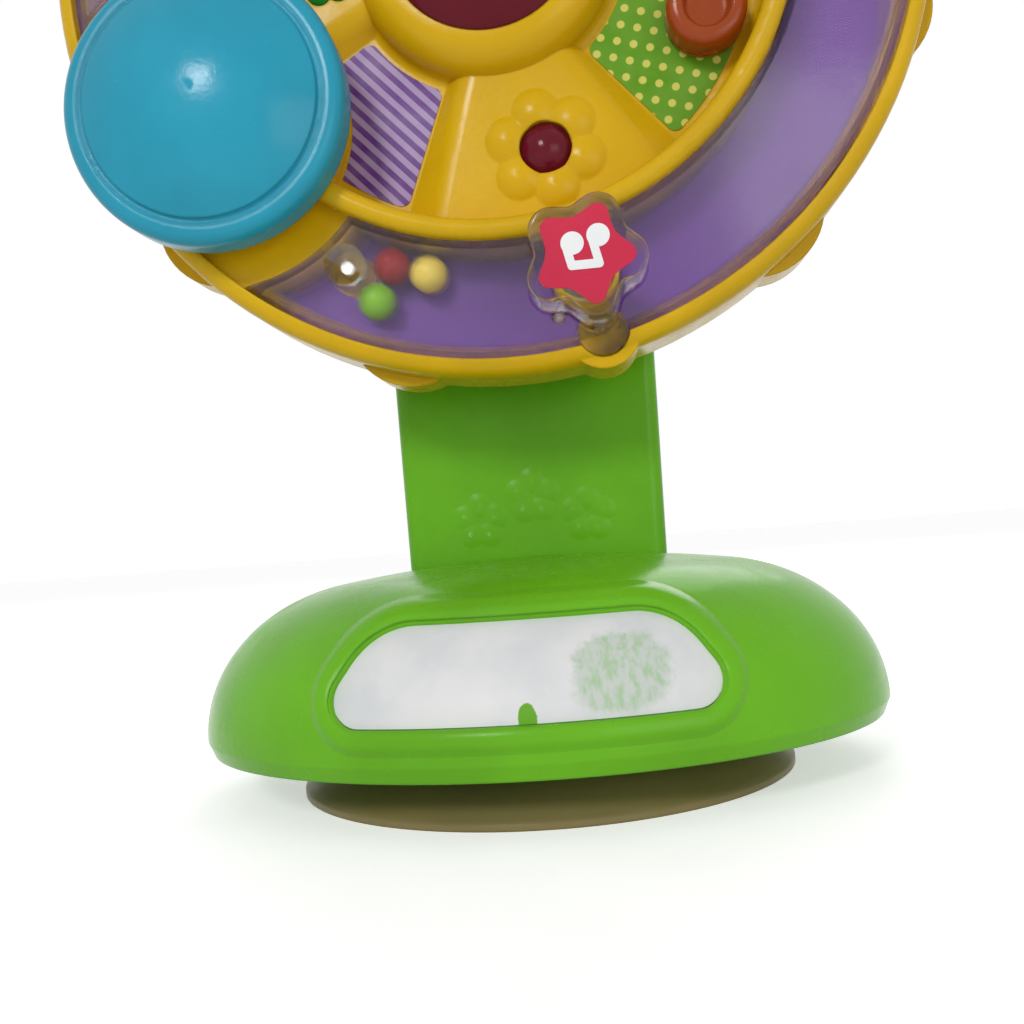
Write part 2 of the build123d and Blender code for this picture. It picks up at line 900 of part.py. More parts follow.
def dome_drum():
    """Drum on the wheel that carries the turning dome, and the flat step round it."""
    drum = disc(drum_radius, rim_rear, drum_top)
    drum = fillet(edges_at(drum, drum_top), drum_round)
    step = dome_seat * disc(platform_radius, channel_under, platform_level)
    step &= tube(channel_outer_radius + sink, channel_inner_radius - sink, channel_under, platform_level)
    return dome_seat * drum + step


def drum_hollow():
    bowl = dome_seat * disc(drum_radius - drum_wall, 0, drum_top - drum_wall)
    inside = disc(rim_inner_rear_radius - rear_lap, 0, drum_top)
    return bowl & inside


def star_outline(grow=0):
    """Five-pointed star with soft points, one of them pointing outwards."""
    points = []
    rounds = []
    for number in range(10):
        radius = star_valley_radius if number % 2 else star_point_radius
        turn = radians(90 + 36 * number)
        points.append((radius * cos(turn), radius * sin(turn)))
        rounds.append(star_valley_round if number % 2 else star_point_round)
    face = make_face(FilletPolyline(*points, radius=rounds, close=True))
    return offset(face, grow) if grow else face


def star_well():
    """Space that the star moves in."""
    low = star_under - star_travel - moving_gap
    return star_seat * Pos(0, 0, low) * extrude(star_outline(star_gap), star_top - low)


def star_guide():
    """Tube on the channel floor that guides the star's stem and seats its spring."""
    return star_seat * disc(star_guide_radius, channel_floor - sink, star_guide_top)


def star_guide_bore_cut():
    bore = disc(star_stem_radius + running_fit, channel_under - overrun, star_guide_top + overrun)
    return star_seat * (bore + disc(star_guide_bore, track_level, star_guide_top + overrun))


def lug_bump():
    """Bump on the rim round the cover's lug."""
    bump = lug_seat * disc(bump_radius, rim_rear, bump_rise)
    return bump - disc(channel_outer_radius, 0, bump_rise + overrun)


def lug_pocket():
    return lug_seat * disc(lug_radius + track_fit, channel_floor, bump_rise + overrun)


def lamp_hole():
    return star_seat * Pos(lamp_x, lamp_y) * disc(lamp_radius + seat_fit, 0, track_level + sink)


def button_post_spots():
    corners = [Pos(x, y) for x in (-button_post_x, button_post_x) for y in (-button_post_y, button_post_y)]
    return [star_seat * corner for corner in corners]


def wheel_post_spots():
    return [spot(wheel_post_place, angle) for angle in wheel_post_angles]


def cover_screw_spots():
    posts = [spot(cover_post_place, angle) for angle in cover_post_angles]
    return posts + [spot(lug_place - lug_screw_inset, star_angle)]


def wheel_front_shell():
    shell = front_skin() + [panel(*shape) for shape in panels()]
    shell += [grip(angle) for angle in grip_angles()]
    shell -= [panel_pocket(angle, top) for angle, foot, top in panels()]
    shell += [*yellow_reliefs(), lug_bump(), dome_drum()]
    lap_room = tube(rim_inner_rear_radius, rim_inner_rear_radius - rear_lap, 0, channel_under)
    shell -= [drum_hollow(), lap_room]
    shell += dome_seat * disc(dome_boss_radius, dome_boss_rear, drum_top - sink)
    shell -= dome_seat * disc(dome_stem_radius + running_fit, 0, drum_top + overrun)
    shell += knob_seat * disc(knob_boss_radius, knob_boss_rear, face_under + sink)
    shell += knob_seat * disc(knob_seat_radius, face_under + sink, face_level + knob_seat_rise)
    shell -= knob_seat * disc(knob_stem_radius + running_fit, 0, panel_level + overrun)
    shell += star_guide()
    button_post = disc(button_post_radius, button_board_level + board, channel_under + sink)
    shell += [place * button_post for place in button_post_spots()]
    wheel_post = disc(wheel_post_radius, rear_wall, channel_under + sink)
    shell += [place * wheel_post for place in wheel_post_spots()]
    shell -= [star_well(), star_guide_bore_cut(), lug_pocket(), lamp_hole()]
    shell -= [inlay_pocket(angle, relief_place, radius) for angle, radius in core_angles().items()]
    shell -= [place * disc(clover_petal, -sink, overrun) for place in clover_leaf_spots()]
    post_pilot = flipped(0) * pilot(screw_bite)
    shell -= [place * Pos(0, 0, rear_wall) * post_pilot for place in wheel_post_spots()]
    board_pilot = flipped(button_board_level + board) * pilot(small_screw_bite, small_screw_radius)
    shell -= [place * board_pilot for place in button_post_spots()]
    cover_hole = disc(screw_radius + seat_fit, 0, channel_floor + overrun)
    shell -= [place * cover_hole for place in cover_screw_spots()]
    return on_wheel(shell)


def hub_cap():
    edge = hub_radius - hub_round - cap_lip
    skirt = hub_pocket_radius - seat_fit
    inner = skirt - cap_wall
    top = hub_top + cap_rise
    return on_wheel(
        turned(
            TangentArc((0, 0, top), (edge, 0, hub_top + cap_lip), tangent=(1, 0, 0)),
            Polyline(
                (edge, 0, hub_top + cap_lip),
                (edge, 0, hub_top),
                (skirt, 0, hub_top),
                (skirt, 0, hub_top - cap_skirt),
                (inner, 0, hub_top - cap_skirt),
                (inner, 0, hub_top),
            ),
            TangentArc((0, 0, top - cap_wall), (inner, 0, hub_top), tangent=(1, 0, 0)),
            Line((0, 0, top - cap_wall), (0, 0, top)),
        )
    )


# Wheel rear cover
def rear_skin():
    edge = rim_radius - rear_inset
    lap = rim_inner_rear_radius - seat_fit
    inner = lap - rear_lap_wall
    return lathe(
        (bush_radius + seat_fit, 0),
        (edge, 0, rear_round),
        (edge, rim_rear),
        (lap, rim_rear),
        (lap, rim_rear + rear_lap_rise),
        (inner, rim_rear + rear_lap_rise),
        (inner, rear_wall, rear_round - rear_wall),
        (hub_boss_radius, rear_wall),
        (hub_boss_radius, rear_boss_height),
        (bush_radius + seat_fit, rear_boss_height),
    )


def battery_box():
    """Open box on the rear cover's inner face."""
    length = battery_length + 2 * battery_wall
    width = battery_width + 2 * battery_wall
    return block(length, width, rear_wall - sink, battery_ceiling + battery_wall)


def door_post_x():
    return battery_length / 2 + battery_wall + small_screw_head_radius + seat_fit


def grille_spots():
    holes = [Pos(0, 0)]
    for ring in range(1, grille_rings + 1):
        holes += PolarLocations(ring * grille_pitch, 6 * ring).locations
    return holes


def board_post_spots():
    corners = [Pos(x, y) for x in (-board_post_x, board_post_x) for y in (-board_post_y, board_post_y)]
    return [main_board_seat * corner for corner in corners]


def door_spots():
    return [battery_seat * Pos(side * door_post_x(), 0) for side in (-1, 1)]


def door_tab_length():
    return 2 * (door_post_x() + small_screw_head_radius + battery_wall)


def wheel_rear_cover():
    shell = rear_skin() + battery_seat * battery_box()
    shell -= battery_seat * block(battery_length, battery_width, -overrun, battery_ceiling)
    door_post = disc(small_screw_head_radius + battery_wall, rear_wall - sink, battery_ceiling)
    shell += [place * door_post for place in door_spots()]
    tab_width = 2 * (small_screw_head_radius + battery_wall + door_gap)
    shell -= battery_seat * block(door_tab_length() + 2 * door_gap, tab_width, -overrun, door_thickness)
    door_pilot = flipped(door_thickness) * pilot(small_screw_bite, small_screw_radius)
    shell -= [place * door_pilot for place in door_spots()]
    fence = speaker_radius + seat_fit
    fence_top = rear_wall + speaker_fence_rise
    shell += speaker_seat * tube(fence + speaker_fence, fence, rear_wall - sink, fence_top)
    hole = disc(grille_hole_radius, -overrun, rear_wall + sink)
    shell -= [speaker_seat * place * hole for place in grille_spots()]
    slot_length = slider_nub_length + slider_travel + 2 * moving_gap
    slot_width = slider_nub_width + 2 * moving_gap
    shell -= slider_seat * block(slot_length, slot_width, -overrun, rear_wall + overrun)
    board_post = disc(board_post_radius, rear_wall - sink, main_board_level)
    shell += [place * board_post for place in board_post_spots()]
    board_pilot = Pos(0, 0, main_board_level) * pilot(small_screw_bite, small_screw_radius)
    shell -= [place * board_pilot for place in board_post_spots()]
    for place in wheel_post_spots():
        shell -= place * disc(screw_radius + seat_fit, -overrun, rear_wall + overrun)
    return on_wheel(shell)


def wheel_screws():
    turn = flipped(0) * screw(rear_wall + screw_bite - seat_fit)
    return on_wheel(Compound([place * turn for place in wheel_post_spots()]))


# Bead track
def track_ring(inner, outer, low, high):
    """Ring in the channel, cut away round the dome's step."""
    ring = tube(outer, inner, low, high)
    return ring - dome_seat * disc(platform_radius + track_fit, low - overrun, high + overrun)


def track_floor_ring():
    inner = channel_inner_radius + track_fit
    outer = channel_outer_radius - track_fit
    ring = track_ring(inner, outer, channel_floor, track_level)
    ring -= star_seat * disc(star_guide_radius + seat_fit, 0, track_level + overrun)
    post_hole = disc(cover_post_radius + track_fit, 0, track_level + overrun)
    ring -= [place * post_hole for place in cover_screw_spots()]
    return on_wheel(ring - [lug_pocket(), lamp_hole()])


def cover_solid(inset):
    """Turned section of the track cover, shrunk on all sides for its hollow."""
    low = track_level - (overrun if inset else 0)
    inner = channel_inner_radius + track_fit + inset
    outer = channel_outer_radius - track_fit - inset
    return lathe(
        (inner, low),
        (outer, low),
        (outer, cover_outer_top - inset, cover_round),
        (inner, cover_inner_top - inset),
    )


def cover_posts():
    """Screw posts at the cover's two ends and the lug beside the star."""
    foot = channel_floor
    post = disc(cover_post_radius, foot, cover_outer_top)
    posts = [spot(cover_post_place, angle) * post for angle in cover_post_angles]
    lug = lug_seat * disc(lug_radius, foot, track_level + lug_rise)
    return posts + [lug]


def track_cover():
    near = platform_radius + track_fit
    cover = cover_solid(0) - cover_solid(cover_wall)
    cover += cover_solid(0) & dome_seat * tube(near + cover_wall, near - overrun, track_level, ring_crest)
    cover += cover_posts()
    cover -= dome_seat * disc(near, 0, ring_crest + overrun)
    cover -= star_well()
    cover -= star_seat * disc(star_guide_radius + track_fit, 0, star_guide_top + track_fit)
    hole = flipped(channel_floor) * pilot(screw_bite)
    cover -= [place * hole for place in cover_screw_spots()]
    return on_wheel(cover)


def cover_screws():
    turn = flipped(channel_under) * screw(channel_skin + screw_bite - seat_fit)
    return on_wheel(Compound([place * turn for place in cover_screw_spots()]))


def bead(place, angle):
    level = track_level + seat_fit + bead_radius
    return on_wheel(spot(place, angle) * Pos(0, 0, level) * Sphere(bead_radius))


def beads(side, angles):
    """Three beads: two beside the inner wall and one further out."""
    places = (bead_inner_place, bead_inner_place, bead_outer_place)
    colours = ("red", "yellow", "green")
    return {f"{side}_bead_{colour}": bead(*where) for colour, *where in zip(colours, places, angles)}


# Stickers
def stickers(angles):
    """Thin printed sectors on the face between the panels."""
    inner = hub_radius + hub_foot_round + sticker_margin
    outer = ring_inner_radius - ring_round - sticker_margin
    pieces = []
    for angle in angles:
        piece = extrude(sector(inner, outer, sticker_half_angle, angle, face_level), sticker)
        piece = fillet(piece.edges().filter_by(Axis.Z), sticker_round)
        piece -= dome_seat * disc(drum_radius + sticker_margin, 0, drum_top)
        piece -= knob_seat * disc(knob_seat_radius + sticker_margin, 0, drum_top)
        pieces.append(piece)
    return on_wheel(Compound(pieces))


# Star button
def star_button():
    star = Pos(0, 0, star_under) * extrude(star_outline(), star_top - star_under)
    star = fillet(edges_at(star, star_top), star_edge_round)
    stem = disc(star_stem_radius, star_stem_end, star_under + sink)
    groove_low = channel_under - clip_thickness - running_fit
    groove = tube(star_stem_radius + overrun, star_stem_radius - clip_groove, groove_low, channel_under)
    return on_wheel(star_seat * (star + stem - groove))


def star_clip():
    low = channel_under - clip_thickness - running_fit / 2
    ring = tube(clip_radius, star_stem_radius - clip_groove + running_fit, low, low + clip_thickness)
    mouth = Pos(clip_radius, 0) * block(2 * clip_radius, star_stem_radius, low - overrun, low + overrun)
    return on_wheel(star_seat * (ring - mouth))


def star_face():
    face = star_outline(-star_label_inset)
    return on_wheel(star_seat * Pos(0, 0, star_top) * extrude(face, star_label))


def star_note():
    """Pair of joined quavers, upright when its star is at the top of the wheel."""
    heads = [Pos(side * note_head_spacing / 2, 0) * Circle(note_head_radius) for side in (-1, 1)]
    right = note_head_spacing / 2 + note_stem_offset + note_stem_width / 2
    left = right - note_head_spacing - note_stem_width
    step = note_slant * note_stem_width / (right - left)
    low_top = note_height - note_slant
    stems = FilletPolyline(
        (left, 0),
        (left, note_height),
        (right, low_top),
        (right, 0),
        (right - note_stem_width, 0),
        (right - note_stem_width, low_top + step - note_beam),
        (left + note_stem_width, note_height - step - note_beam),
        (left + note_stem_width, 0),
        radius=(0, note_round, note_round, 0, 0, 0, 0, 0),
        close=True,
    )
    shape = Pos(-note_shift, -note_foot) * (make_face(stems) + heads)
    return on_wheel(star_seat * Pos(0, 0, star_top + star_label) * extrude(shape, note))


def spring_point(turn, low, high):
    """Point of the spring's centre line after a number of turns, and its direction there."""
    climb = (high - low) / spring_turns
    across = spring_radius * cos(2 * pi * turn)
    along = spring_radius * sin(2 * pi * turn)
    heading = Vector(-along, across, climb / (2 * pi))
    return Vector(across, along, low + climb * turn), heading.normalized()


def biarc(start, end):
    """Two arcs that join two points with their directions."""
    (p0, t0), (p1, t1) = start, end
    chord = p1 - p0
    both = t0 + t1
    a = 2 * (t0.dot(t1) - 1)
    b = -2 * chord.dot(both)
    reach = (-b - sqrt(b * b - 4 * a * chord.dot(chord))) / (2 * a)
    middle = (p0 + t0 * reach + p1 - t1 * reach) * 0.5
    turn = p1 - t1 * reach - middle
    return [Edge.make_tangent_arc(p0, t0, middle), Edge.make_tangent_arc(middle, turn, p1)]


def star_spring():
    low = track_level + spring_wire_radius + seat_fit
    high = star_under - spring_wire_radius - seat_fit
    steps = 4 * spring_turns
    nodes = [spring_point(step / 4, low, high) for step in range(steps + 1)]
    edges = [edge for start, end in zip(nodes, nodes[1:]) for edge in biarc(start, end)]
    place, heading = nodes[0]
    section = Plane(place, z_dir=heading) * Circle(spring_wire_radius)
    fine = [spring_point(step / 24, low, high)[0] for step in range(24 * spring_turns + 1)]
    gap = min((far - near).length for n, near in enumerate(fine) for far in fine[n + 12 :])
    print("spring: least gap between turns", round(gap - 2 * spring_wire_radius, 2), "mm")
    return on_wheel(star_seat * sweep(section, Wire(edges)))


def button_board():
    plate = block(button_board_length, button_board_width, button_board_level, button_board_level + board)
    plate = star_seat * plate
    holes = [place * disc(small_screw_radius + seat_fit, 0, channel_under) for place in button_post_spots()]
    return on_wheel(plate - holes)


def push_switch():
    low = button_board_level + board
    high = low + push_switch_height
    case = block(push_switch_side, push_switch_side, low, high)
    return on_wheel(star_seat * (case + disc(push_pin_radius, high, high + push_pin_rise)))


def star_lamp():
    low = button_board_level + board
    shape = disc(lamp_radius, low, low + lamp_height)
    shape += Pos(0, 0, low + lamp_height) * Sphere(lamp_radius)
    return on_wheel(star_seat * Pos(lamp_x, lamp_y) * shape)


# Turning dome
def blue_dome():
    inner = dome_radius - dome_wall
    edge = (dome_radius, 0, dome_bottom + dome_skirt)
    rolled = (dome_radius - dome_edge_inset, 0, dome_bottom + dome_edge)
    top = dome_bottom + dome_rise
    roof_edge = (inner - dome_round, 0, dome_bottom + dome_edge - dome_wall)
    shape = turned(
        TangentArc(edge, rolled, tangent=(0, 0, 1)),
        TangentArc((0, 0, top), rolled, tangent=(1, 0, 0)),
        Polyline((0, 0, top), (0, 0, top - dome_wall)),
        TangentArc((0, 0, top - dome_wall), roof_edge, tangent=(1, 0, 0)),
        Polyline(
            roof_edge,
            (inner, 0, dome_bottom + dome_skirt),
            (inner, 0, dome_bottom),
            (dome_radius, 0, dome_bottom),
            edge,
        ),
    )
    groove = Torus(dome_radius - dome_groove_inset, dome_groove)
    shape -= Pos(0, 0, dome_bottom + dome_edge + dome_groove) * groove
    shape += disc(dome_stem_radius, dome_stem_end, top - dome_wall + sink)
    shape -= flipped(dome_stem_end) * pilot(screw_bite)
    return on_wheel(dome_seat * shape)


def washer_screw(washer_radius, washer):
    """Screw with a washer under its head that keeps a turning piece's stem in its bore."""
    return disc(washer_radius, 0, washer) + Pos(0, 0, washer) * screw(washer + screw_bite - seat_fit)


def dome_screw():
    turn = flipped(dome_stem_end) * washer_screw(dome_washer_radius, dome_washer)
    return on_wheel(dome_seat * turn)


# Turning knob
def orange_knob():
    top = knob_bottom + knob_height
    inner = knob_radius - knob_wall
    dish = knob_radius - knob_rim_width
    shape = lathe(
        (0, top - knob_dish - knob_wall),
        (inner, top - knob_dish - knob_wall),
        (inner, knob_bottom),
        (knob_radius, knob_bottom),
        (knob_radius, top, knob_round),
        (dish, top, knob_rim_width - knob_round - sink),
        (dish - knob_dish / 2, top - knob_dish, knob_dish / 2),
        (0, top - knob_dish),
    )
    shape += disc(knob_stem_radius, knob_stem_end, top - knob_dish - sink)
    shape -= flipped(knob_stem_end) * pilot(screw_bite)
    return on_wheel(knob_seat * shape)


def knob_screw():
    turn = flipped(knob_stem_end) * washer_screw(knob_washer_radius, knob_washer)
    return on_wheel(knob_seat * turn)


# Batteries
def battery_cells():
    shoulder = cell_length - cell_tip
    cell = disc(cell_radius, 0, shoulder) + disc(cell_tip_radius, shoulder, cell_length)
    cells = []
    for side in (-1, 1):
        lie = Pos(-side * cell_length / 2, side * cell_spacing / 2, cell_level) * Rot(0, side * 90, 0)
        cells.append(battery_seat * lie * cell)
    return on_wheel(Compound(cells))


def battery_contacts():
    thickness = battery_slack - seat_fit
    low = cell_level - contact_side / 2
    pieces = []
    for end in (-1, 1):
        for side in (-1, 1):
            place = Pos(end * (battery_length - thickness) / 2, side * cell_spacing / 2)
            pieces.append(battery_seat * place * block(thickness, contact_side, low, low + contact_side))
    return on_wheel(Compound(pieces))


def battery_door():
    plate = block(battery_length - 2 * door_gap, battery_width - 2 * door_gap, 0, door_thickness)
    tab_width = 2 * (small_screw_head_radius + battery_wall)
    plate += block(door_tab_length(), tab_width, 0, door_thickness)
    plate = battery_seat * plate
    hole = disc(small_screw_radius + seat_fit, -overrun, door_thickness + overrun)
    return on_wheel(plate - [place * hole for place in door_spots()])


def battery_door_screws():
    turn = flipped(0) * small_screw(door_thickness + small_screw_bite - seat_fit)
    return on_wheel(Compound([place * turn for place in door_spots()]))


# Sound
def speaker_frame():
    low = rear_wall
    flange = low + speaker_flange
    basket = flange + speaker_basket
    shape = lathe(
        (speaker_basket_radius, low),
        (speaker_radius, low),
        (speaker_radius, flange),
        (speaker_basket_radius + speaker_flange, flange),
        (speaker_magnet_radius, basket),
        (speaker_magnet_radius, basket + speaker_magnet),
        (0, basket + speaker_magnet),
        (0, basket),
        (speaker_magnet_radius - speaker_flange, basket - speaker_flange),
        (speaker_basket_radius, flange),
    )
    return on_wheel(speaker_seat * shape)


def speaker_cone():
    low = rear_wall + sink
    rim = speaker_basket_radius - seat_fit
    floor = rear_wall + speaker_flange + sink
    shape = lathe(
        (rim, low),
        (rim, low + speaker_cone_wall),
        (speaker_dust_radius, floor + speaker_cone_wall),
        (0, floor + speaker_cone_wall),
        (0, floor),
        (speaker_dust_radius, floor),
    )
    return on_wheel(speaker_seat * shape)


# Main board
def main_board():
    plate = block(main_board_length, main_board_width, main_board_level, main_board_level + board)
    plate = main_board_seat * plate
    hole = disc(small_screw_radius + seat_fit, 0, face_under)
    return on_wheel(plate - [place * hole for place in board_post_spots()])


def board_screws():
    """Screws of both boards."""
    bite = board + small_screw_bite - seat_fit
    main = Pos(0, 0, main_board_level + board) * small_screw(bite)
    button = flipped(button_board_level) * small_screw(bite)
    screws = [place * main for place in board_post_spots()]
    screws += [place * button for place in button_post_spots()]
    return on_wheel(Compound(screws))


def sound_chip():
    low = main_board_level + board
    return on_wheel(main_board_seat * block(chip_side, chip_side, low, low + chip_thickness))


def reed_switch():
    lie = Pos(-reed_length / 2, -reed_offset, main_board_level - reed_radius) * Rot(0, 90, 0)
    return on_wheel(main_board_seat * lie * disc(reed_radius, 0, reed_length))


# Power slider
def power_slider():
    low = rear_wall + running_fit
    plate = block(slider_length, slider_width, low, low + slider_plate)
    nub = block(slider_nub_length, slider_nub_width, -slider_nub_rise, low + sink)
    rest = Pos(-slider_travel / 2, 0)
    return on_wheel(slider_seat * rest * (plate + nub))


def slider_housing_cover():
    room_length = slider_length + slider_travel + 2 * moving_gap
    room_width = slider_width + 2 * moving_gap
    ceiling = rear_wall + slider_plate + moving_gap
    length = room_length + 2 * slider_wall
    width = room_width + 2 * slider_wall
    shape = block(length, width, rear_wall, ceiling + slider_housing)
    return on_wheel(slider_seat * (shape - block(room_length, room_width, 0, ceiling)))


pieces = {
    "suction_cup": suction_cup(),
    "cup_clamp_ring": cup_clamp_ring(),
    "cup_clamp_screws": cup_clamp_screws(),
    "base_plate": base_plate(),
    "base_shell": base_shell(),
    "base_label": base_label(),
    "base_screws": upward_screws(base_boss_spots() + foot_spots()),
    "arm_front_shell": arm_front_shell(),
    "arm_rear_shell": arm_rear_shell(),
    "arm_screws": arm_screws(),
    "trigger_magnet": trigger_magnet(),
    "axle": axle(),
    "axle_thrust_washer": axle_thrust_washer(),
    "axle_retaining_washer": axle_retaining_washer(),
    "axle_retaining_screw": axle_retaining_screw(),
    "wheel_front_shell": wheel_front_shell(),
    "wheel_rear_cover": wheel_rear_cover(),
    "wheel_screws": wheel_screws(),
    "front_bush": front_bush(),
    "rear_bush": rear_bush(),
    "hub_cap": hub_cap(),
    "flower_inlays": flower_inlays(),
    "clover_inlay": clover_inlay(),
    "stripe_stickers": stickers(stripe_angles),
    "dot_stickers": stickers(dot_angles),
    "track_floor": track_floor_ring(),
    "track_cover": track_cover(),
    "cover_screws": cover_screws(),
    "star_button": star_button(),
    "star_clip": star_clip(),
    "star_label": star_face(),
    "star_note": star_note(),
    "star_spring": star_spring(),
    "button_board": button_board(),
    "push_switch": push_switch(),
    "star_lamp": star_lamp(),
    "blue_dome": blue_dome(),
    "dome_screw": dome_screw(),
    "orange_knob": orange_knob(),
    "knob_screw": knob_screw(),
    "battery_cells": battery_cells(),
    "battery_contacts": battery_contacts(),
    "battery_door": battery_door(),
    "battery_door_screws": battery_door_screws(),
    "speaker_frame": speaker_frame(),
    "speaker_cone": speaker_cone(),
    "main_board": main_board(),
    "board_screws": board_screws(),
    "sound_chip": sound_chip(),
    "reed_switch": reed_switch(),
    "power_slider": power_slider(),
    "slider_housing": slider_housing_cover(),
    **beads("left", left_bead_angles),
    **beads("right", right_bead_angles),
}

os.makedirs("parts", exist_ok=True)
for name, piece in pieces.items():
    export_step(piece, f"parts/{name}.step")
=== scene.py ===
import json
import math

import bpy
from mathutils import Matrix, Vector


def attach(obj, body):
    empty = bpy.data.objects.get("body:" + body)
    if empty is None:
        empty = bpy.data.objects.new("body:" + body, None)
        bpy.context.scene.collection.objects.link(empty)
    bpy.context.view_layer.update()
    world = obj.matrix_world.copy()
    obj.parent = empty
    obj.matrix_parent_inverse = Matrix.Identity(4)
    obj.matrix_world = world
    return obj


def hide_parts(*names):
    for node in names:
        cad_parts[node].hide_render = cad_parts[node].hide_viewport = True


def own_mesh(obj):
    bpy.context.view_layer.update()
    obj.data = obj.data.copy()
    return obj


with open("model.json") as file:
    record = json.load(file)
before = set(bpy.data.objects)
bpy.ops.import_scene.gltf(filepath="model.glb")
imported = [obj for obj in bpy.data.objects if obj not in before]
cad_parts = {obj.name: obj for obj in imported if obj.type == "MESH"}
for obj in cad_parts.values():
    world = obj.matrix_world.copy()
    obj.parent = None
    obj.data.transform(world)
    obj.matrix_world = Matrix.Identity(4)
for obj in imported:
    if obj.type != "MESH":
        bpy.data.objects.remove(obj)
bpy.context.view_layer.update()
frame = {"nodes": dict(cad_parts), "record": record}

MM = 0.001

# Surroundings: light from the world, the floor with its glow for the camera, and lamps
# with their place in metres, size in metres and power in watts
WORLD_LIGHT = 0.45
FLOOR_GLOW = 0.5
FLOOR_SIZE = 8
FLOOR_ROUGHNESS = 0.6
FLOOR_TONE_SIZE = 0.02
AXLE = Vector((0, 0, 172.5)) * MM
LAMP_AIM = AXLE * 0.7
LAMPS = (
    ("key", (-0.3, -1.0, 0.62), 0.22, 4.6),
    ("fill", (0.6, -1.0, 0.15), 0.6, 2.6),
    ("back", (0.1, 0.9, 0.8), 0.8, 3.2),
)

# Camera: close in front of the toy, a little to its right, and rolled
CAMERA_PLACE = Vector((14.94, -239.6, 50.88)) * MM
CAMERA_YAW = -4.51
CAMERA_PITCH = 1.09
CAMERA_ROLL = 4.29
CAMERA_LENS = 38.67
CAMERA_SENSOR = 36
CAMERA_CLIP = 0.01

# The base's dome and the label on its front, in millimetres, as in the solids
BASE_HALF_WIDTH = 72.0
BASE_HALF_DEPTH = 60.0
BASE_TOP = 45.5
BASE_CROWN = 200.0
BASE_SHOULDER = 30.0
LABEL_LEVEL = 27.7
LABEL_HEIGHT = 16.8
LABEL_FOOT_WIDTH = 76.6
LABEL_TOP_WIDTH = 53.0
LABEL_FOOT_ROUND = 4.8
LABEL_TOP_ROUND = 14.0

# Wear on the label, in millimetres: middle x and z, half width and half height
WORN_PATCH = (16.8, 26.2, 9.0, 7.2)
TORN_NOTCH = (0.6, 19.8, 1.6, 3.2)

# Lip round the label, in millimetres: a small round at the label, a crest, and a soft fall to the base
LIP_START = 0.15
LIP_ROUND = 1.3
LIP_CREST = 2.5
LIP_REACH = 5.2
LIP_RISE = 1.0
LIP_SINK = 0.12
LIP_ROOT = 0.9
LIP_STEP = 1.2
LIP_SECTION_STEPS = 8

# Sharpest angle between two faces that still shades smoothly, in degrees
LIP_SMOOTH_ANGLE = 50
NODE_SMOOTH_ANGLE = 32

# Gloss of the toy's opaque surfaces, as the shader's specular level
GLOSS = 0.16

# Moulded plastic: sizes and depths in metres, shares of the colour, steps of roughness
DRIFT_SIZE = 0.035
DRIFT_DARK = 0.95
DRIFT_LIGHT = 1.03
HAZE_SIZE = 0.012
HAZE_SMOOTHER = 0.05
HAZE_ROUGHER = 0.10
SCRATCH_SIZE = 0.0012
SCRATCH_STRETCH = (0.12, 1, 1)
SCRATCH_ROUGHER = 0.12
SKIN_SIZE = 0.0011
SKIN_DEPTH = 0.00003

# Printed film: sizes and depths in metres, roughness from its smoothest to its roughest place
FILM_ROUGHNESS = 0.32
FILM_FADE_SIZE = 0.006
FILM_HAZE_SIZE = 0.009
FILM_HAZE = (0.26, 0.42)
FILM_RIPPLE_SIZE = 0.004
FILM_RIPPLE_DEPTH = 0.00004

# Prints: turn in degrees and pitch in millimetres; a dot's soft edge in shares of the pitch
STRIPE_TURN = -47
STRIPE_PITCH = 2.5
STRIPE_EDGE = 0.15
DOT_TURN = -17
DOT_PITCH = 3.5
DOT_EDGE = (0.21, 0.26)

# Paper label: sizes and depths in metres
PAPER_ROUGHNESS = 0.45
PAPER_TONE_SIZE = 0.010
PAPER_HAZE_SIZE = 0.009
PAPER_HAZE = (0.38, 0.55)
PAPER_GRAIN_SIZE = 0.0008
PAPER_GRAIN_DEPTH = 0.00003
RAGGED_SIZE = 0.0035
RAGGED_SHARE = 0.7
SPECKLE_SIZE = 0.0014
SPECKLE_STRETCH = (1, 1, 0.3)

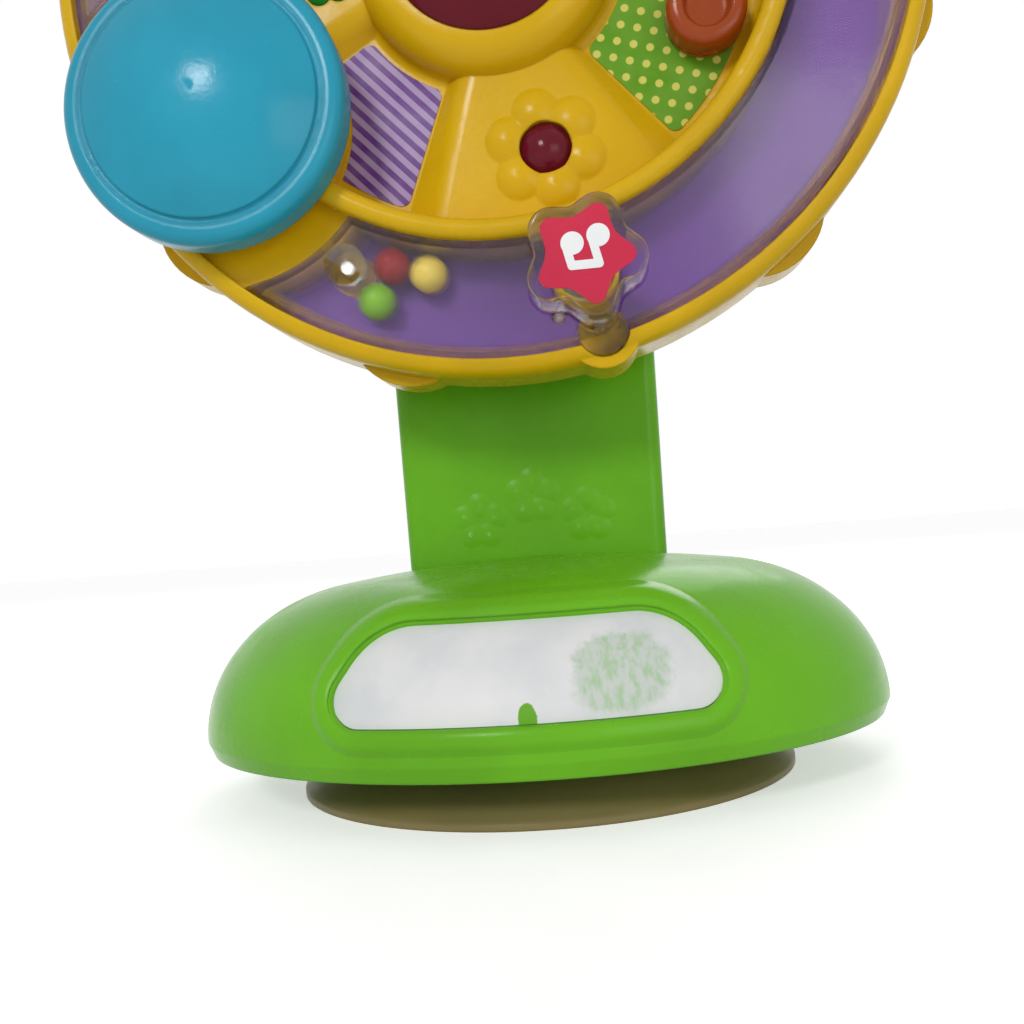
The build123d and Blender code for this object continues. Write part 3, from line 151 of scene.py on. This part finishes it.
# Moulded looks by material slot: display colour, then what differs from plain plastic
PLASTICS = {
    "green_plastic": dict(colour=(0.42, 0.71, 0.12)),
    "yellow_plastic": dict(colour=(0.84, 0.67, 0.06)),
    "burgundy_plastic": dict(colour=(0.40, 0.05, 0.12), roughness=0.16),
    "blue_plastic": dict(colour=(0.16, 0.60, 0.71), roughness=0.18),
    "clover_green": dict(colour=(0.10, 0.58, 0.20), roughness=0.2),
    "purple_plastic": dict(colour=(0.36, 0.19, 0.52), roughness=0.35),
    "bead_red": dict(colour=(0.50, 0.04, 0.08), roughness=0.15, edge=0),
    "bead_yellow": dict(colour=(0.84, 0.74, 0.32), roughness=0.15, edge=0),
    "bead_green": dict(colour=(0.40, 0.60, 0.08), roughness=0.15, edge=0),
    "white_plastic": dict(colour=(0.86, 0.86, 0.83), roughness=0.4),
    "black_plastic": dict(colour=(0.06, 0.06, 0.07), roughness=0.4),
    "board_green": dict(colour=(0.06, 0.34, 0.16), roughness=0.4),
    "cell_metal": dict(colour=(0.28, 0.29, 0.31), roughness=0.35, Metallic=0.6),
    "cone_paper": dict(colour=(0.16, 0.15, 0.14), roughness=0.8),
    "star_red": dict(colour=(0.80, 0.19, 0.30), roughness=0.22, edge=0),
    "white_print": dict(colour=(0.94, 0.95, 0.95), roughness=0.3, edge=0),
    "cup_rubber": dict(colour=(0.58, 0.52, 0.34), roughness=0.34, Transmission_Weight=0.15),
    "orange_clear": dict(colour=(0.70, 0.30, 0.09), roughness=0.16, Transmission_Weight=0.25),
    "clear_plastic": dict(
        colour=(0.97, 0.97, 0.96), roughness=0.05, edge=0, gloss=0.5, Transmission_Weight=1.0, Alpha=0.65
    ),
    "lamp_clear": dict(colour=(0.95, 0.82, 0.78), roughness=0.12, edge=0, Transmission_Weight=0.6),
    "steel": dict(colour=(0.62, 0.62, 0.63), roughness=0.34, edge=0.2, Metallic=1.0),
}


def linear(colour):
    """Display colour to the linear colour that shaders take."""
    return tuple(c / 12.92 if c <= 0.04045 else ((c + 0.055) / 1.055) ** 2.4 for c in colour) + (1,)


class Look:
    """A material: one shader and the texture nodes that feed it, in object coordinates."""

    def __init__(self, name, roughness, **sockets):
        self.material = bpy.data.materials.new(name)
        self.material.use_nodes = True
        self.tree = self.material.node_tree
        self.shader = self.tree.nodes["Principled BSDF"]
        self.place = self.add("ShaderNodeTexCoord").outputs["Object"]
        self.shader.inputs["Roughness"].default_value = roughness
        for socket, value in sockets.items():
            self.shader.inputs[socket.replace("_", " ")].default_value = value

    def add(self, kind, **settings):
        node = self.tree.nodes.new(kind)
        for key, value in settings.items():
            setattr(node, key, value)
        return node

    def link(self, source, target):
        self.tree.links.new(source, target)

    def math(self, operation, *values):
        """Result of a sum on numbers and sockets."""
        node = self.add("ShaderNodeMath", operation=operation)
        for socket, value in zip(node.inputs, values):
            if isinstance(value, (int, float)):
                socket.default_value = value
            else:
                self.link(value, socket)
        return node.outputs[0]

    def noise(self, size, detail=2, roughness=0.5, stretch=(1, 1, 1)):
        """Noise whose features are about size metres across."""
        node = self.add("ShaderNodeTexNoise")
        node.inputs["Scale"].default_value = 1 / size
        node.inputs["Detail"].default_value = detail
        node.inputs["Roughness"].default_value = roughness
        mapping = self.add("ShaderNodeMapping")
        mapping.inputs["Scale"].default_value = stretch
        self.link(self.place, mapping.inputs["Vector"])
        self.link(mapping.outputs[0], node.inputs["Vector"])
        return node.outputs["Fac"]

    def turned(self, degrees, scale=1):
        """Place on the toy's front, turned about the axle's direction and scaled."""
        turn = self.add("ShaderNodeMapping")
        turn.inputs["Rotation"].default_value = (0, math.radians(degrees), 0)
        turn.inputs["Scale"].default_value = (scale,) * 3
        self.link(self.place, turn.inputs["Vector"])
        return turn.outputs[0]

    def parts(self, vector):
        """Sockets of a vector's X, Y and Z."""
        node = self.add("ShaderNodeSeparateXYZ")
        self.link(vector, node.inputs[0])
        return node.outputs

    def ramp(self, value, low, high, start=0.0, end=1.0):
        """Value mapped smoothly from low..high to start..end."""
        node = self.add("ShaderNodeMapRange", interpolation_type="SMOOTHSTEP")
        self.link(value, node.inputs["Value"])
        for socket, number in zip(("From Min", "From Max", "To Min", "To Max"), (low, high, start, end)):
            node.inputs[socket].default_value = number
        return node.outputs[0]

    def mix(self, factor, first, second):
        """Colour between two; each is a display colour or a socket."""
        node = self.add("ShaderNodeMix", data_type="RGBA")
        self.link(factor, node.inputs["Factor"])
        for socket, colour in zip((node.inputs[6], node.inputs[7]), (first, second)):
            if isinstance(colour, tuple):
                socket.default_value = linear(colour)
            else:
                self.link(colour, socket)
        return node.outputs[2]

    def paint(self, colour):
        self.link(colour, self.shader.inputs["Base Color"])
        return self

    def rough(self, value):
        self.link(value, self.shader.inputs["Roughness"])
        return self

    def relief(self, height, depth, edge=0.0):
        """Bump of a depth in metres, over edges softened to a radius in metres."""
        bump = self.add("ShaderNodeBump")
        bump.inputs["Distance"].default_value = depth
        self.link(height, bump.inputs["Height"])
        if edge:
            bevel = self.add("ShaderNodeBevel", samples=4)
            bevel.inputs["Radius"].default_value = edge
            self.link(bevel.outputs[0], bump.inputs["Normal"])
        self.link(bump.outputs[0], self.shader.inputs["Normal"])
        return self


def shade(colour, share):
    """Colour made darker or lighter by a share."""
    return tuple(min(1.0, c * share) for c in colour)


def moulded(name, colour, roughness=0.24, edge=0.8, gloss=GLOSS, **sockets):
    """Injection-moulded plastic: slow colour drift, handling haze, fine scratches and a soft skin."""
    look = Look(name, roughness, Specular_IOR_Level=gloss, **sockets)
    drift = look.ramp(look.noise(DRIFT_SIZE, 3), 0.3, 0.7)
    look.paint(look.mix(drift, shade(colour, DRIFT_DARK), shade(colour, DRIFT_LIGHT)))
    haze = look.ramp(
        look.noise(HAZE_SIZE, 5, 0.65), 0.35, 0.75, roughness - HAZE_SMOOTHER, roughness + HAZE_ROUGHER
    )
    scratches = look.ramp(look.noise(SCRATCH_SIZE, 2, 0.5, SCRATCH_STRETCH), 0.66, 0.74, 0, SCRATCH_ROUGHER)
    look.rough(look.math("ADD", haze, scratches))
    return look.relief(look.noise(SKIN_SIZE, 3, 0.6), SKIN_DEPTH, edge * MM)


def build_looks():
    """Material of every slot."""
    looks = {slot: moulded(slot, **settings) for slot, settings in PLASTICS.items()}
    looks["stripe_sticker"] = stripes()
    looks["dot_sticker"] = dots()
    looks["white_label"] = label()
    return {slot: look.material for slot, look in looks.items()}


def film(look, printed, faded, most):
    """Printed film: faded in places, at most by a share, with haze and slight ripples."""
    look.paint(look.mix(look.ramp(look.noise(FILM_FADE_SIZE, 4), 0.3, 0.8, 0, most), printed, faded))
    look.rough(look.ramp(look.noise(FILM_HAZE_SIZE, 4), 0.3, 0.7, *FILM_HAZE))
    return look.relief(look.noise(FILM_RIPPLE_SIZE, 3), FILM_RIPPLE_DEPTH)


def stripes():
    """Printed film: purple stripes falling to the right on lavender."""
    look = Look("stripe_sticker", FILM_ROUGHNESS, Specular_IOR_Level=GLOSS)
    parts = look.parts(look.turned(STRIPE_TURN))
    wave = look.math("SINE", look.math("MULTIPLY", parts["Z"], 2 * math.pi / (STRIPE_PITCH * MM)))
    printed = look.mix(look.ramp(wave, -STRIPE_EDGE, STRIPE_EDGE), (0.64, 0.55, 0.72), (0.38, 0.19, 0.52))
    return film(look, printed, (0.9, 0.88, 0.92), 0.12)


def dots():
    """Printed film: a square grid of pale dots on green."""
    look = Look("dot_sticker", FILM_ROUGHNESS, Specular_IOR_Level=GLOSS)
    cell = look.add("ShaderNodeVectorMath", operation="FRACTION")
    look.link(look.turned(DOT_TURN, 1 / (DOT_PITCH * MM)), cell.inputs[0])
    parts = look.parts(cell.outputs[0])
    across = look.math("SUBTRACT", parts["X"], 0.5)
    along = look.math("SUBTRACT", parts["Z"], 0.5)
    squares = look.math("ADD", look.math("MULTIPLY", across, across), look.math("MULTIPLY", along, along))
    reach = look.math("SQRT", squares)
    printed = look.mix(look.ramp(reach, *DOT_EDGE), (0.80, 0.79, 0.38), (0.36, 0.58, 0.08))
    return film(look, printed, (0.75, 0.85, 0.5), 0.1)


def label():
    """Bare white paper label, rubbed through to a mottled pale green and torn at its foot."""
    look = Look("white_label", PAPER_ROUGHNESS, Specular_IOR_Level=GLOSS)
    tone = look.ramp(look.noise(PAPER_TONE_SIZE, 4), 0.3, 0.8)
    paper = look.mix(tone, (0.90, 0.90, 0.90), (0.84, 0.85, 0.86))
    parts = look.parts(look.place)
    ragged = look.math("MULTIPLY", look.math("SUBTRACT", look.noise(RAGGED_SIZE, 5, 0.65), 0.5), RAGGED_SHARE)

    def patch(x, z, half_width, half_height):
        """Value that is 1 at the patch's edge and grows outwards, with a ragged edge."""
        across = look.math("DIVIDE", look.math("SUBTRACT", parts["X"], x * MM), half_width * MM)
        along = look.math("DIVIDE", look.math("SUBTRACT", parts["Z"], z * MM), half_height * MM)
        squares = look.math("ADD", look.math("POWER", across, 2), look.math("POWER", along, 2))
        return look.math("ADD", look.math("SQRT", squares), ragged)

    worn = look.ramp(patch(*WORN_PATCH), 0.8, 1.05, 1, 0)
    speckle = look.ramp(look.noise(SPECKLE_SIZE, 4, 0.6, SPECKLE_STRETCH), 0.40, 0.66)
    rubbed = look.mix(speckle, (0.80, 0.83, 0.80), (0.69, 0.80, 0.66))
    paper = look.mix(worn, paper, rubbed)
    torn = look.ramp(patch(*TORN_NOTCH), 0.9, 1.0, 1, 0)
    paper = look.mix(torn, paper, (0.40, 0.66, 0.14))
    look.rough(look.ramp(look.noise(PAPER_HAZE_SIZE, 4), 0.3, 0.7, *PAPER_HAZE))
    return look.paint(paper).relief(look.noise(PAPER_GRAIN_SIZE, 3), PAPER_GRAIN_DEPTH)


def rounded(corners, rounds, step):
    """Closed outline with rounded corners: points in turn, each with its outward direction."""
    outline = []
    for number, (corner, radius) in enumerate(zip(corners, rounds)):
        back = (corners[number - 1] - corner).normalized()
        ahead = (corners[(number + 1) % len(corners)] - corner).normalized()
        half = math.acos(back.dot(ahead)) / 2
        centre = corner + (back + ahead).normalized() * radius / math.sin(half)
        first = corner + back * radius / math.tan(half) - centre
        sweep = math.pi - 2 * half
        count = max(4, round(sweep * radius / step))
        for number_on_arc in range(count + 1):
            turn = Matrix.Rotation(sweep * number_on_arc / count, 2)
            out = turn @ first
            outline.append((centre + out, out.normalized()))
    filled = []
    for (place, out), (place_after, out_after) in zip(outline, outline[1:] + outline[:1]):
        count = max(1, round((place_after - place).length / step))
        for part in range(count):
            share = part / count
            filled.append((place.lerp(place_after, share), out.lerp(out_after, share).normalized()))
    return filled


def on_base(x, z):
    """Point of the base's front at a place seen from the front, and the direction square to it there."""
    reach = BASE_HALF_DEPTH - BASE_SHOULDER
    shoulder_level = BASE_TOP - BASE_CROWN + math.sqrt((BASE_CROWN - BASE_SHOULDER) ** 2 - reach**2)
    rise = z - shoulder_level
    across = math.sqrt(BASE_SHOULDER**2 - rise**2)
    stretch = BASE_HALF_WIDTH / BASE_HALF_DEPTH
    radius = reach + across
    y = -math.sqrt(radius**2 - (x / stretch) ** 2)
    square = Vector((x / stretch**2, y, radius * rise / across)).normalized()
    return Vector((x, y, z)), square


def lip_section():
    """Section of the lip: offsets outwards from the label, with the rise above the base's skin."""
    section = [(LIP_START, -LIP_ROOT)]
    for number in range(LIP_SECTION_STEPS + 1):
        turn = math.pi / 2 * number / LIP_SECTION_STEPS
        section.append((LIP_START + LIP_ROUND * (1 - math.cos(turn)), LIP_RISE * math.sin(turn)))
    for number in range(LIP_SECTION_STEPS + 1):
        share = number / LIP_SECTION_STEPS
        fall = (LIP_RISE + LIP_SINK) * (1 - math.cos(math.pi * share)) / 2
        section.append((LIP_CREST + (LIP_REACH - LIP_CREST) * share, LIP_RISE - fall))
    section.append((LIP_REACH, -LIP_ROOT))
    return section


def label_lip():
    """Lip moulded round the label, one closed ring on the base's front."""
    foot = LABEL_FOOT_WIDTH / 2
    top = LABEL_TOP_WIDTH / 2
    low = LABEL_LEVEL - LABEL_HEIGHT / 2
    high = LABEL_LEVEL + LABEL_HEIGHT / 2
    corners = [Vector(corner) for corner in ((-foot, low), (foot, low), (top, high), (-top, high))]
    rounds = (LABEL_FOOT_ROUND, LABEL_FOOT_ROUND, LABEL_TOP_ROUND, LABEL_TOP_ROUND)
    section = lip_section()
    points = []
    outline = rounded(corners, rounds, LIP_STEP)
    for place, out in outline:
        for offset, rise in section:
            seen = place + out * offset
            point, square = on_base(*seen)
            points.append((point + square * rise) * MM)
    ring = len(section)
    faces = []
    for number in range(len(outline)):
        start = number * ring
        after = (number + 1) % len(outline) * ring
        for row in range(ring):
            row_after = (row + 1) % ring
            faces.append((start + row, start + row_after, after + row_after, after + row))
    mesh = bpy.data.meshes.new("label_lip")
    mesh.from_pydata(points, [], faces)
    smooth(mesh, LIP_SMOOTH_ANGLE)
    lip = bpy.data.objects.new("label_lip", mesh)
    bpy.context.scene.collection.objects.link(lip)
    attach(lip, "stand")
    return lip


def pressed_spring():
    """Return spring under the star, in place of the stiff one: a copy of its mesh, hung on the wheel."""
    spring = bpy.data.objects.new("pressed_spring", frame["nodes"]["star_spring"].data.copy())
    bpy.context.scene.collection.objects.link(spring)
    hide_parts("star_spring")
    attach(spring, "wheel")
    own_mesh(spring)


def smooth(mesh, angle):
    """Smooth shading, with edges sharper than an angle in degrees left sharp."""
    mesh.polygons.foreach_set("use_smooth", [True] * len(mesh.polygons))
    mesh.set_sharp_from_angle(angle=math.radians(angle))


def dress():
    """Materials on all nodes, and the scene's own pieces. Clear nodes cast no shadow, so light passes them."""
    looks = build_looks()
    slots = {part["node"]: part["material_slot"] for part in frame["record"]["subparts"]}
    for name, node in frame["nodes"].items():
        node.data.materials.clear()
        node.data.materials.append(looks[slots[name]])
        node.visible_shadow = slots[name] != "clear_plastic"
        smooth(node.data, NODE_SMOOTH_ANGLE)
    pressed_spring()
    label_lip().data.materials.append(looks["green_plastic"])


def seen_rays(tree):
    """Socket that is 1 for rays from the camera, off shiny pieces and through clear ones."""
    rays = tree.nodes.new("ShaderNodeLightPath")
    seen = rays.outputs["Is Camera Ray"]
    for kind in ("Is Glossy Ray", "Is Transmission Ray"):
        either = tree.nodes.new("ShaderNodeMath")
        either.operation = "MAXIMUM"
        tree.links.new(seen, either.inputs[0])
        tree.links.new(rays.outputs[kind], either.inputs[1])
        seen = either.outputs[0]
    return seen


def floor():
    """Plain pale floor, whitened where it is seen."""
    bpy.ops.mesh.primitive_plane_add(size=FLOOR_SIZE, location=(0, 0, 0))
    plane = bpy.context.object
    plane.name = "floor"
    look = Look("floor", FLOOR_ROUGHNESS)
    tone = look.ramp(look.noise(FLOOR_TONE_SIZE, 4), 0.3, 0.7)
    look.paint(look.mix(tone, (0.88, 0.88, 0.88), (0.90, 0.90, 0.90)))
    look.shader.inputs["Emission Color"].default_value = (1, 1, 1, 1)
    glow = look.math("MULTIPLY", seen_rays(look.tree), FLOOR_GLOW)
    look.link(glow, look.shader.inputs["Emission Strength"])
    plane.data.materials.append(look.material)


def surroundings():
    """World that is white where it is seen and lights the toy less than that."""
    world = bpy.data.worlds.new("studio")
    bpy.context.scene.world = world
    world.use_nodes = True
    nodes = world.node_tree.nodes
    links = world.node_tree.links
    strength = nodes.new("ShaderNodeMapRange")
    strength.inputs["To Min"].default_value = WORLD_LIGHT
    strength.inputs["To Max"].default_value = 1.0
    links.new(seen_rays(world.node_tree), strength.inputs["Value"])
    links.new(strength.outputs[0], nodes["Background"].inputs["Strength"])
    nodes["Background"].inputs["Color"].default_value = (1, 1, 1, 1)


def lamps():
    """Soft lamps: from the left front, the right front and behind."""
    for name, place, size, power in LAMPS:
        lamp = bpy.data.lights.new(name, "AREA")
        lamp.size = size
        lamp.energy = power
        lamp_object = bpy.data.objects.new(name, lamp)
        lamp_object.location = place
        lamp_object.rotation_euler = (LAMP_AIM - Vector(place)).to_track_quat("-Z", "Y").to_euler()
        bpy.context.scene.collection.objects.link(lamp_object)


def camera():
    """Camera at the photo's place and angle."""
    data = bpy.data.cameras.new("camera")
    data.lens = CAMERA_LENS
    data.sensor_width = CAMERA_SENSOR
    data.clip_start = CAMERA_CLIP
    eye = bpy.data.objects.new("camera", data)
    yaw = Matrix.Rotation(math.radians(-CAMERA_YAW), 4, "Z")
    pitch = Matrix.Rotation(math.radians(90 + CAMERA_PITCH), 4, "X")
    roll = Matrix.Rotation(math.radians(-CAMERA_ROLL), 4, "Z")
    eye.matrix_world = Matrix.Translation(CAMERA_PLACE) @ yaw @ pitch @ roll
    bpy.context.scene.collection.objects.link(eye)
    bpy.context.scene.camera = eye


dress()
floor()
surroundings()
lamps()
camera()
bpy.context.scene.view_settings.view_transform = "Standard"
